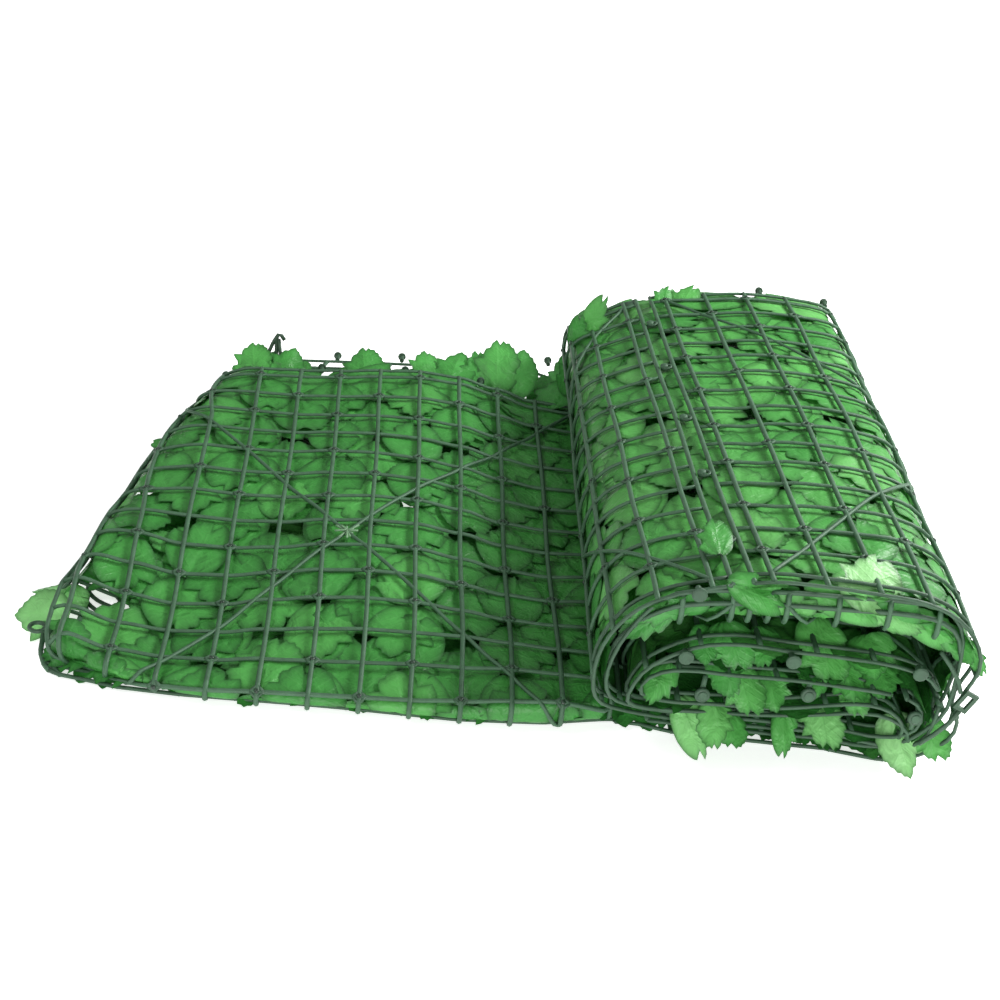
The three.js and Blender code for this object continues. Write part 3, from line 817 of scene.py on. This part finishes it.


# Leaves that stand out past the mesh: strip, panel, stalk, tip, side that faces out, width in lengths, shade, shape.
# Some shades are painted light or painted shade, as noted at their groups.
TOWARDS = (0.0, -1.0, 0.5)
STANDING = (0.0, -0.7, 0.9)
LOOSE_LEAVES = [
    # behind the flat end
    ("outer", 0, (-88, 440, 8), (-93, 482, 26), STANDING, 0.75, 0.6, 3),
    ("outer", 0, (-82, 440, 6), (-75, 480, 20), STANDING, 0.7, 0.5, 5),
    ("outer", 0, (-70, 446, 6), (-58, 480, 23), STANDING, 0.8, 0.45, 5),
    ("outer", 0, (0, 440, 12), (-4, 482, 27), STANDING, 0.85, 0.5, 3),
    ("outer", 0, (52, 440, 16), (46, 482, 31), STANDING, 0.75, 0.55, 3),
    ("outer", 0, (64, 440, 16), (77, 484, 32), STANDING, 0.75, 0.5, 5),
    ("outer", 0, (106, 445, 12), (104, 483, 45), STANDING, 0.85, 0.6, 3),
    ("outer", 0, (96, 445, 10), (87, 480, 36), STANDING, 0.75, 0.5, 3),
    ("outer", 0, (116, 446, 12), (127, 481, 40), STANDING, 0.8, 0.55, 5),
    ("outer", 0, (140, 448, 8), (146, 480, 20), STANDING, 0.8, 0.35, 3),
    ("outer", 0, (162, 450, 10), (158, 478, 38), (-0.2, -0.8, 0.7), 0.7, 0.5, 0),
    ("outer", 0, (148, 424, 14), (162, 468, 24), (-0.3, -0.5, 1.0), 0.9, 0.25, 4),
    # at the flat end's left corner
    ("inner", 0, (-175, 90, 8), (-209, 88, 7), (-0.2, -0.3, 1.0), 1.35, 0.9, 5),
    ("inner", 0, (-166, 112, 9), (-204, 117, 8), (-0.2, -0.2, 1.0), 0.7, 0.85, 3),
    ("inner", 0, (-140, 318, 13), (-154, 322, 12), (-0.5, -0.3, 1.0), 0.9, 0.3, 1),
    ("inner", 0, (-138, 164, 13), (-170, 122, 9), (0.0, 0.0, 1.0), 0.75, 0.45, 0),
    ("inner", 0, (-146, 62, 10), (-190, 82, 8), (0.0, 0.0, 1.0), 0.7, 0.42, 5),
    # under the edge of the flat end's front
    ("outer", 0, (-150, 74, 6), (-180, 41, 4), (-0.3, -0.6, 1.0), 0.9, 0.35, 3),
    ("outer", 0, (-152, 80, 6), (-166, 30, 4), (-0.3, -0.6, 1.0), 0.9, 0.3, 4),
    ("outer", 0, (-140, 64, 6), (-153, 25, 4), (-0.2, -0.6, 1.0), 1.0, 0.3, 1),
    ("outer", 0, (-126, 60, 6), (-138, 21, 4), (-0.2, -0.6, 1.0), 1.0, 0.25, 0),
    ("outer", 0, (-112, 60, 6), (-132, 28, 4), (-0.2, -0.6, 1.0), 0.9, 0.4, 0),
    ("outer", 0, (-84, 52, 6), (-101, 22, 4), (-0.1, -0.6, 1.0), 0.9, 0.35, 3),
    ("outer", 0, (-50, 50, 6), (-66, 18, 4), (-0.1, -0.6, 1.0), 1.0, 0.4, 1),
    ("outer", 0, (-16, 50, 6), (-30, 17, 4), (-0.1, -0.6, 1.0), 1.0, 0.35, 0),
    ("outer", 0, (20, 48, 6), (6, 16, 4), (-0.1, -0.6, 1.0), 1.0, 0.4, 3),
    ("outer", 0, (56, 46, 6), (46, 14, 4), (0.0, -0.6, 1.0), 1.0, 0.35, 1),
    ("outer", 0, (92, 46, 6), (84, 13, 4), (0.0, -0.6, 1.0), 1.0, 0.4, 0),
    ("outer", 0, (128, 50, 6), (124, 16, 4), (0.0, -0.6, 1.0), 1.0, 0.3, 3),
    # under the roll's front; their dark tints are painted shade
    ("outer", 1, (180, 60, 7), (184, 21, 4), (0.0, -0.4, 1.0), 0.95, 0.2, 1),
    ("outer", 1, (212, 58, 7), (214, 19, 4), (0.0, -0.4, 1.0), 0.95, 0.25, 3),
    ("outer", 1, (244, 56, 7), (246, 17, 4), (0.0, -0.4, 1.0), 0.95, 0.2, 0),
    ("outer", 1, (276, 56, 7), (277, 14, 4), (0.0, -0.4, 1.0), 0.95, 0.25, 1),
    ("outer", 1, (306, 54, 7), (308, 11, 4), (0.0, -0.4, 1.0), 0.95, 0.2, 3),
    ("outer", 1, (334, 50, 9), (338, 5, 6), (0.0, -0.4, 1.0), 0.95, 0.25, 0),
    ("outer", 1, (166, 60, 7), (170, 24, 4), (0.0, -0.4, 1.0), 0.95, 0.2, 0),
    ("outer", 1, (197, 58, 7), (199, 20, 4), (0.0, -0.4, 1.0), 0.95, 0.15, 4),
    ("outer", 1, (228, 56, 7), (230, 19, 4), (0.0, -0.4, 1.0), 0.95, 0.2, 5),
    ("outer", 1, (260, 56, 7), (262, 16, 4), (0.0, -0.4, 1.0), 0.95, 0.15, 0),
    ("outer", 1, (291, 54, 7), (293, 13, 4), (0.0, -0.4, 1.0), 0.95, 0.2, 4),
    ("outer", 1, (320, 52, 8), (323, 8, 5), (0.0, -0.4, 1.0), 0.95, 0.15, 5),
    # the roll's left side at the back
    ("outer", 2, (166, 440, 68), (184, 446, 108), (-0.6, -1.0, 0.4), -0.55, 0.75, 0),
    ("outer", 2, (162, 438, 58), (166, 442, 92), (-0.7, -1.0, 0.4), -0.6, 0.45, 0),
    ("outer", 2, (158, 434, 24), (163, 440, 60), (-0.6, -1.0, 0.4), 0.55, 0.35, 0),
    ("outer", 2, (228, 456, 90), (236, 480, 107), STANDING, 0.75, 0.5, 0),
    ("outer", 2, (240, 456, 92), (256, 480, 109), STANDING, 0.8, 0.7, 4),
    # round the front border at the top of the outer turn
    # painted light: this leaf's tint of 1.0, the brightest, stands in for light shining through it from above
    ("outer", 1, (300, -13, 122), (307, 22, 141), (0.0, -0.8, 1.0), 1.15, 1.0, 0),
    ("inner", 1, (262, -4, 128), (314, -5, 113), TOWARDS, 0.42, 0.75, 0),
    ("inner", 1, (294, -4, 124), (338, -5, 108), TOWARDS, 0.45, 0.85, 3),
    ("inner", 1, (322, -3, 118), (362, -5, 98), TOWARDS, 0.5, 0.75, 1),
    ("inner", 1, (346, -3, 108), (374, -6, 90), TOWARDS, 0.55, 0.6, 3),
    ("inner", 1, (246, -3, 126), (274, -5, 114), TOWARDS, 0.6, 0.5, 2),
    ("inner", 2, (210, -1, 128), (240, -4, 115), TOWARDS, 0.55, 0.5, 1),
    ("inner", 2, (216, -10, 133), (252, -14, 121), (0.1, -0.9, 0.8), 0.62, 0.58, 0),
    ("inner", 2, (216, 24, 131), (214, 55, 137), (0.0, -0.4, 1.0), 0.75, 0.55, 4),
    ("outer", 2, (203, -3, 120), (159, -5, 97), TOWARDS, 0.42, 0.5, 0),
    ("outer", 2, (188, -2, 108), (160, -4, 84), TOWARDS, 0.5, 0.35, 3),
    # between the third and the fourth line of the front
    ("outer", 3, (224, 10, 94), (233, -13, 73), TOWARDS, 1.01, 0.54, 6),
    ("outer", 3, (214, 10, 90), (212, -12, 76), TOWARDS, 0.92, 0.5, 5),
    ("outer", 3, (244, 10, 92), (249, -12, 78), TOWARDS, 0.92, 0.54, 3),
    ("outer", 3, (280, 20, 96), (289, -14, 67), TOWARDS, 0.8, 0.73, 6),
    ("outer", 3, (310, 11, 92), (314, -13, 75), TOWARDS, 1.09, 0.64, 5),
    # inside the core; their light tints are painted light
    ("inner", 3, (218, 9, 72), (235, -13, 57), TOWARDS, 0.76, 0.5, 3),
    ("inner", 3, (234, 10, 66), (246, -14, 41), TOWARDS, 0.8, 0.73, 6),
    ("inner", 3, (254, 10, 62), (260, -12, 46), TOWARDS, 0.92, 0.64, 5),
    ("inner", 3, (294, 10, 76), (308, -13, 56), TOWARDS, 0.8, 0.64, 6),
    ("inner", 3, (283, 10, 74), (281, -13, 59), TOWARDS, 0.92, 0.59, 5),
    ("inner", 3, (318, 10, 74), (325, -13, 62), TOWARDS, 1.01, 0.59, 3),
    ("inner", 3, (302, 10, 64), (310, -13, 46), TOWARDS, 0.76, 0.77, 6),
    ("inner", 3, (194, 9, 62), (183, -11, 44), TOWARDS, 0.76, 0.64, 3),
    # under the front
    ("outer", 1, (204, 10, 36), (222, -14, 9), TOWARDS, 0.63, 0.87, 0),
    ("outer", 1, (224, 8, 40), (228, -14, 17), TOWARDS, 0.8, 0.82, 3),
    ("outer", 1, (236, 6, 32), (237, -13, 17), TOWARDS, 1.01, 0.59, 6),
    ("outer", 1, (268, 8, 36), (270, -13, 13), TOWARDS, 0.59, 0.64, 0),
    ("outer", 1, (289, 10, 44), (295, -15, 22), TOWARDS, 0.92, 0.87, 6),
    ("outer", 1, (336, 10, 36), (349, -15, 6), TOWARDS, 0.67, 0.95, 5),
    ("outer", 1, (352, 10, 40), (366, -14, 18), TOWARDS, 0.76, 0.73, 6),
    # at the right
    ("outer", 1, (364, -2, 100), (381, -8, 81), (0.3, -1.0, 0.5), 0.5, 0.6, 0),
]


# Materials
def nodes_of(name):
    m = bpy.data.materials.new(name)
    m.use_nodes = True
    t = m.node_tree
    t.nodes.clear()
    out = t.nodes.new("ShaderNodeOutputMaterial")
    bsdf = t.nodes.new("ShaderNodeBsdfPrincipled")
    t.links.new(bsdf.outputs[0], out.inputs["Surface"])
    return m, t, bsdf


def node(t, kind, **values):
    n = t.nodes.new(kind)
    for key, value in values.items():
        if key in ("operation", "blend_type", "data_type", "attribute_name", "attribute_type", "noise_dimensions", "wave_type", "use_clamp", "uv_map"):
            setattr(n, key, value)
        else:
            n.inputs[int(key[1:]) if key[0] == "i" and key[1:].isdigit() else key].default_value = value
    return n


def ramp(t, stops):
    n = t.nodes.new("ShaderNodeValToRGB")
    while len(n.color_ramp.elements) < len(stops):
        n.color_ramp.elements.new(0.5)
    for e, (at, colour) in zip(n.color_ramp.elements, stops):
        e.position, e.color = at, (*colour, 1)
    return n


def leaf_material():
    m, t, bsdf = nodes_of("leaf")
    tint = node(t, "ShaderNodeAttribute", attribute_name="tint")
    colour = ramp(t, [(0.0, (0.03, 0.2, 0.03)), (0.5, (0.06, 0.31, 0.055)), (0.8, (0.11, 0.43, 0.09)), (1.0, (0.34, 0.7, 0.28))])
    t.links.new(tint.outputs["Fac"], colour.inputs["Fac"])
    uv = t.nodes.new("ShaderNodeUVMap")
    uv.uv_map = "leaf"
    sep = t.nodes.new("ShaderNodeSeparateXYZ")
    t.links.new(uv.outputs[0], sep.inputs[0])
    ax = node(t, "ShaderNodeMath", operation="ABSOLUTE")
    t.links.new(sep.outputs[0], ax.inputs[0])
    # midrib
    rib = node(t, "ShaderNodeMath", operation="MULTIPLY", i1=34.0)
    t.links.new(ax.outputs[0], rib.inputs[0])
    rib2 = node(t, "ShaderNodeMath", operation="SUBTRACT", i0=1.0, use_clamp=True)
    t.links.new(rib.outputs[0], rib2.inputs[1])
    # side veins, running out and up from the midrib
    slope = node(t, "ShaderNodeMath", operation="MULTIPLY", i1=0.9)
    t.links.new(ax.outputs[0], slope.inputs[0])
    lane = node(t, "ShaderNodeMath", operation="SUBTRACT")
    t.links.new(sep.outputs[1], lane.inputs[0])
    t.links.new(slope.outputs[0], lane.inputs[1])
    freq = node(t, "ShaderNodeMath", operation="MULTIPLY", i1=38.0)
    t.links.new(lane.outputs[0], freq.inputs[0])
    wave = node(t, "ShaderNodeMath", operation="COSINE")
    t.links.new(freq.outputs[0], wave.inputs[0])
    sharp = node(t, "ShaderNodeMath", operation="POWER", i1=8.0)
    up = node(t, "ShaderNodeMath", operation="MAXIMUM", i1=0.0)
    t.links.new(wave.outputs[0], up.inputs[0])
    t.links.new(up.outputs[0], sharp.inputs[0])
    veins = node(t, "ShaderNodeMath", operation="MAXIMUM")
    t.links.new(rib2.outputs[0], veins.inputs[0])
    t.links.new(sharp.outputs[0], veins.inputs[1])
    # cloudy print
    where = t.nodes.new("ShaderNodeTexCoord")
    cloud = node(t, "ShaderNodeTexNoise", Scale=60.0, Detail=4.0, Roughness=0.6)
    t.links.new(where.outputs["Object"], cloud.inputs["Vector"])
    shade = ramp(t, [(0.3, (0.86, 0.86, 0.86)), (0.7, (1.12, 1.12, 1.12))])
    t.links.new(cloud.outputs[0], shade.inputs["Fac"])
    mix = node(t, "ShaderNodeMix", data_type="RGBA", blend_type="MULTIPLY")
    mix.inputs["Factor"].default_value = 1.0
    t.links.new(colour.outputs[0], mix.inputs[6])
    t.links.new(shade.outputs[0], mix.inputs[7])
    vein_mix = node(t, "ShaderNodeMix", data_type="RGBA", blend_type="MIX")
    vein_fac = node(t, "ShaderNodeMath", operation="MULTIPLY", i1=0.07)
    t.links.new(veins.outputs[0], vein_fac.inputs[0])
    t.links.new(vein_fac.outputs[0], vein_mix.inputs["Factor"])
    t.links.new(mix.outputs[2], vein_mix.inputs[6])
    vein_mix.inputs[7].default_value = (0.16, 0.5, 0.13, 1)
    # painted shade: the leaf's outermost edge is darkened, standing in for the thin contact shadow where one leaf lies
    # close over another
    rim = node(t, "ShaderNodeAttribute", attribute_name="rim")
    painted_edge_shadow_falloff = node(t, "ShaderNodeMath", operation="POWER", i1=7.5)
    t.links.new(rim.outputs["Fac"], painted_edge_shadow_falloff.inputs[0])
    painted_edge_shadow_amount = node(t, "ShaderNodeMath", operation="MULTIPLY", i1=0.85)
    t.links.new(painted_edge_shadow_falloff.outputs[0], painted_edge_shadow_amount.inputs[0])
    painted_edge_shadow_mix = node(t, "ShaderNodeMix", data_type="RGBA", blend_type="MIX")
    t.links.new(painted_edge_shadow_amount.outputs[0], painted_edge_shadow_mix.inputs["Factor"])
    t.links.new(vein_mix.outputs[2], painted_edge_shadow_mix.inputs[6])
    painted_edge_shadow_mix.inputs[7].default_value = (0.012, 0.07, 0.014, 1)
    t.links.new(painted_edge_shadow_mix.outputs[2], bsdf.inputs["Base Color"])
    # weave, creases and veins as relief
    fine = node(t, "ShaderNodeTexNoise", Scale=1400.0, Detail=2.0)
    t.links.new(where.outputs["Object"], fine.inputs["Vector"])
    crease = node(t, "ShaderNodeTexNoise", Scale=95.0, Detail=3.0, Roughness=0.55, Distortion=0.6)
    t.links.new(where.outputs["Object"], crease.inputs["Vector"])
    b1 = node(t, "ShaderNodeBump", Strength=0.8, Distance=0.0026)
    t.links.new(crease.outputs[0], b1.inputs["Height"])
    b2 = node(t, "ShaderNodeBump", Strength=0.25, Distance=0.0004)
    t.links.new(veins.outputs[0], b2.inputs["Height"])
    # soft folds that fan out from the stalk
    fan_y = node(t, "ShaderNodeMath", operation="ADD", i1=0.12)
    t.links.new(sep.outputs[1], fan_y.inputs[0])
    fan = node(t, "ShaderNodeMath", operation="ARCTAN2")
    t.links.new(sep.outputs[0], fan.inputs[0])
    t.links.new(fan_y.outputs[0], fan.inputs[1])
    far = node(t, "ShaderNodeVectorMath", operation="LENGTH")
    t.links.new(uv.outputs[0], far.inputs[0])
    short = node(t, "ShaderNodeMath", operation="MULTIPLY", i1=0.25)
    t.links.new(far.outputs["Value"], short.inputs[0])
    each = node(t, "ShaderNodeMath", operation="MULTIPLY", i1=83.0)
    t.links.new(tint.outputs["Fac"], each.inputs[0])
    place = t.nodes.new("ShaderNodeCombineXYZ")
    t.links.new(fan.outputs[0], place.inputs[0])
    t.links.new(short.outputs[0], place.inputs[1])
    t.links.new(each.outputs[0], place.inputs[2])
    folds = node(t, "ShaderNodeTexNoise", Scale=2.3, Detail=0.6, Roughness=0.4)
    t.links.new(place.outputs[0], folds.inputs["Vector"])
    b0 = node(t, "ShaderNodeBump", Strength=0.9, Distance=0.004)
    t.links.new(folds.outputs[0], b0.inputs["Height"])
    t.links.new(b0.outputs[0], b1.inputs["Normal"])
    t.links.new(b1.outputs[0], b2.inputs["Normal"])
    b3 = node(t, "ShaderNodeBump", Strength=0.12, Distance=0.0002)
    t.links.new(fine.outputs[0], b3.inputs["Height"])
    t.links.new(b2.outputs[0], b3.inputs["Normal"])
    t.links.new(b3.outputs[0], bsdf.inputs["Normal"])
    bsdf.inputs["Roughness"].default_value = 0.45
    bsdf.inputs["Specular IOR Level"].default_value = 0.4
    # a little light comes through
    through = t.nodes.new("ShaderNodeBsdfTranslucent")
    t.links.new(vein_mix.outputs[2], through.inputs["Color"])
    both = t.nodes.new("ShaderNodeMixShader")
    both.inputs[0].default_value = 0.16
    t.links.new(bsdf.outputs[0], both.inputs[1])
    t.links.new(through.outputs[0], both.inputs[2])
    t.links.new(both.outputs[0], t.nodes["Material Output"].inputs["Surface"])
    return m


def plastic_material(name, plain=False):
    m, t, bsdf = nodes_of(name)
    colour = ramp(t, [(0.0, (0.008, 0.018, 0.011)), (0.5, (0.042, 0.11, 0.055)), (1.0, (0.16, 0.3, 0.16))])
    if plain:  # the carried-over solids have no shade of their own
        colour.inputs["Fac"].default_value = 0.32
    else:
        tint = node(t, "ShaderNodeAttribute", attribute_name="tint")
        t.links.new(tint.outputs["Fac"], colour.inputs["Fac"])
    where = t.nodes.new("ShaderNodeTexCoord")
    cloud = node(t, "ShaderNodeTexNoise", Scale=120.0, Detail=4.0, Roughness=0.65)
    t.links.new(where.outputs["Object"], cloud.inputs["Vector"])
    shade = ramp(t, [(0.3, (0.75, 0.75, 0.75)), (0.7, (1.2, 1.2, 1.2))])
    t.links.new(cloud.outputs[0], shade.inputs["Fac"])
    mix = node(t, "ShaderNodeMix", data_type="RGBA", blend_type="MULTIPLY")
    mix.inputs["Factor"].default_value = 1.0
    t.links.new(colour.outputs[0], mix.inputs[6])
    t.links.new(shade.outputs[0], mix.inputs[7])
    t.links.new(mix.outputs[2], bsdf.inputs["Base Color"])
    rough = node(t, "ShaderNodeMapRange")
    rough.inputs[3].default_value, rough.inputs[4].default_value = 0.5, 0.7
    t.links.new(cloud.outputs[0], rough.inputs[0])
    if plain:
        t.links.new(rough.outputs[0], bsdf.inputs["Roughness"])
    else:  # the pins, which have the darkest shade, are glossy
        gloss = node(t, "ShaderNodeMapRange")
        gloss.inputs[1].default_value, gloss.inputs[2].default_value = 0.0, 0.25
        gloss.inputs[3].default_value, gloss.inputs[4].default_value = 0.4, 1.0
        t.links.new(tint.outputs["Fac"], gloss.inputs[0])
        last = node(t, "ShaderNodeMath", operation="MULTIPLY")
        t.links.new(rough.outputs[0], last.inputs[0])
        t.links.new(gloss.outputs[0], last.inputs[1])
        t.links.new(last.outputs[0], bsdf.inputs["Roughness"])
    fine = node(t, "ShaderNodeTexNoise", Scale=700.0, Detail=3.0)
    t.links.new(where.outputs["Object"], fine.inputs["Vector"])
    bump = node(t, "ShaderNodeBump", Strength=0.3, Distance=0.0004)
    t.links.new(fine.outputs[0], bump.inputs["Height"])
    t.links.new(bump.outputs[0], bsdf.inputs["Normal"])
    bsdf.inputs["Specular IOR Level"].default_value = 0.5
    return m


leaf_mat = leaf_material()
plastic_mat = plastic_material("mesh_plastic")
stud_mat = plastic_material("mesh_plastic_studs", plain=True)

# Build the eight panels and their leaves
for name in ("outer", "inner"):
    for k in range(4):
        mesh_buf, leaf_buf = Buffer(), Buffer()
        mesh_panel(mesh_buf, name, k)
        edge_snaps(mesh_buf, name, k)
        sprigs(leaf_buf, name, k)
        for strip, panel_no, stalk, tip, up, wide, tint, shape in LOOSE_LEAVES:
            if (strip, panel_no) == (name, k):
                placed(leaf_buf, stalk, tip, up, wide=wide, tint=tint, shape=shape)
        if (name, k) == ("outer", 3):
            front_stud(mesh_buf, 213, 55.5)
            front_stud(mesh_buf, 276, 61.0)
            front_stud(mesh_buf, 343, 50.0, down=-1.0)
            # the third line's border runs out to the corner frame at the right
            for pts in (
                [(349, -11, 97), (356, -12, 89), (363, -13, 79), (366, -13.5, 71)],
                [(368, -14, 58), (364, -13, 48), (357, -12, 38), (350, -11, 30)],
            ):
                tube(mesh_buf, np.array(pts, float), np.array([[0, -1.0, 0]] * 4), width=3.0, tint=0.35)
        if (name, k) == ("outer", 0):
            loose_corner(mesh_buf)
            disc(mesh_buf, np.array([-110.0, 440, 13]), np.array([-0.6, 0.2, 0.8]), 2.6, 3.0, sides=10, tint=0.3, dome=0.6)
        panel = mesh_buf.make(f"mesh_{name}_{k + 1}", plastic_mat)
        leaves = leaf_buf.make(f"leaves_{name}_{k + 1}", leaf_mat)
        for o, slot in ((panel, "mesh_plastic"), (leaves, "leaves")):
            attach(o, "root")

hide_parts("roll")
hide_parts("loose_end_upper")
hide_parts("loose_end_lower")

for n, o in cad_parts.items():
    if n.startswith(("stud", "ring", "corner")):
        o.data.materials.clear()
        o.data.materials.append(stud_mat)

# Floor, light and camera
bpy.ops.mesh.primitive_plane_add(size=14, location=(0, 3, 0))
floor = bpy.context.object
floor.name = "floor"
fm, ft, fb = nodes_of("floor_white")
fb.inputs["Base Color"].default_value = (0.93, 0.93, 0.93, 1)
fb.inputs["Emission Color"].default_value = (1, 1, 1, 1)
fb.inputs["Emission Strength"].default_value = 0.66
fb.inputs["Roughness"].default_value = 0.6
fb.inputs["Specular IOR Level"].default_value = 0.1
floor.data.materials.append(fm)

world = bpy.data.worlds.new("studio")
bpy.context.scene.world = world
world.use_nodes = True
world.node_tree.nodes["Background"].inputs[0].default_value = (1, 1, 1, 1)
world.node_tree.nodes["Background"].inputs[1].default_value = 0.34


def area_light(name, where, at, size, power):
    data = bpy.data.lights.new(name, "AREA")
    data.shape, data.size, data.energy = "DISK", size, power
    o = bpy.data.objects.new(name, data)
    o.location = where
    o.rotation_mode = "QUATERNION"
    o.rotation_quaternion = (Vector(at) - Vector(where)).to_track_quat("-Z", "Y")
    bpy.context.scene.collection.objects.link(o)
    return o


area_light("key", (1.0, 0.3, 0.85), (0.1, 0, 0.05), 0.55, 24)
area_light("left", (-1.1, -0.3, 1.3), (0, 0, 0.05), 0.7, 7.5)
area_light("front", (0.1, -2.1, 0.6), (0.1, -0.1, 0.05), 0.8, 24)

cam_data = bpy.data.cameras.new("camera")
cam_data.lens = 69.48
cam_data.sensor_width = 36
cam_data.clip_start, cam_data.clip_end = 0.05, 60
cam = bpy.data.objects.new("camera", cam_data)
right = Vector((0.99407, -0.02499, 0.10607))
up = Vector((-0.07968, 0.49738, 0.86388))
back = Vector((-0.07435, -0.86718, 0.49242))
cam.matrix_world = Matrix(
    (
        (right.x, up.x, back.x, -0.0923),
        (right.y, up.y, back.y, -1.18055),
        (right.z, up.z, back.z, 0.705),
        (0, 0, 0, 1),
    )
)
bpy.context.scene.collection.objects.link(cam)
bpy.context.scene.camera = cam
bpy.context.scene.view_settings.view_transform = "Standard"
bpy.context.scene.view_settings.look = "None"

bpy.context.view_layer.update()
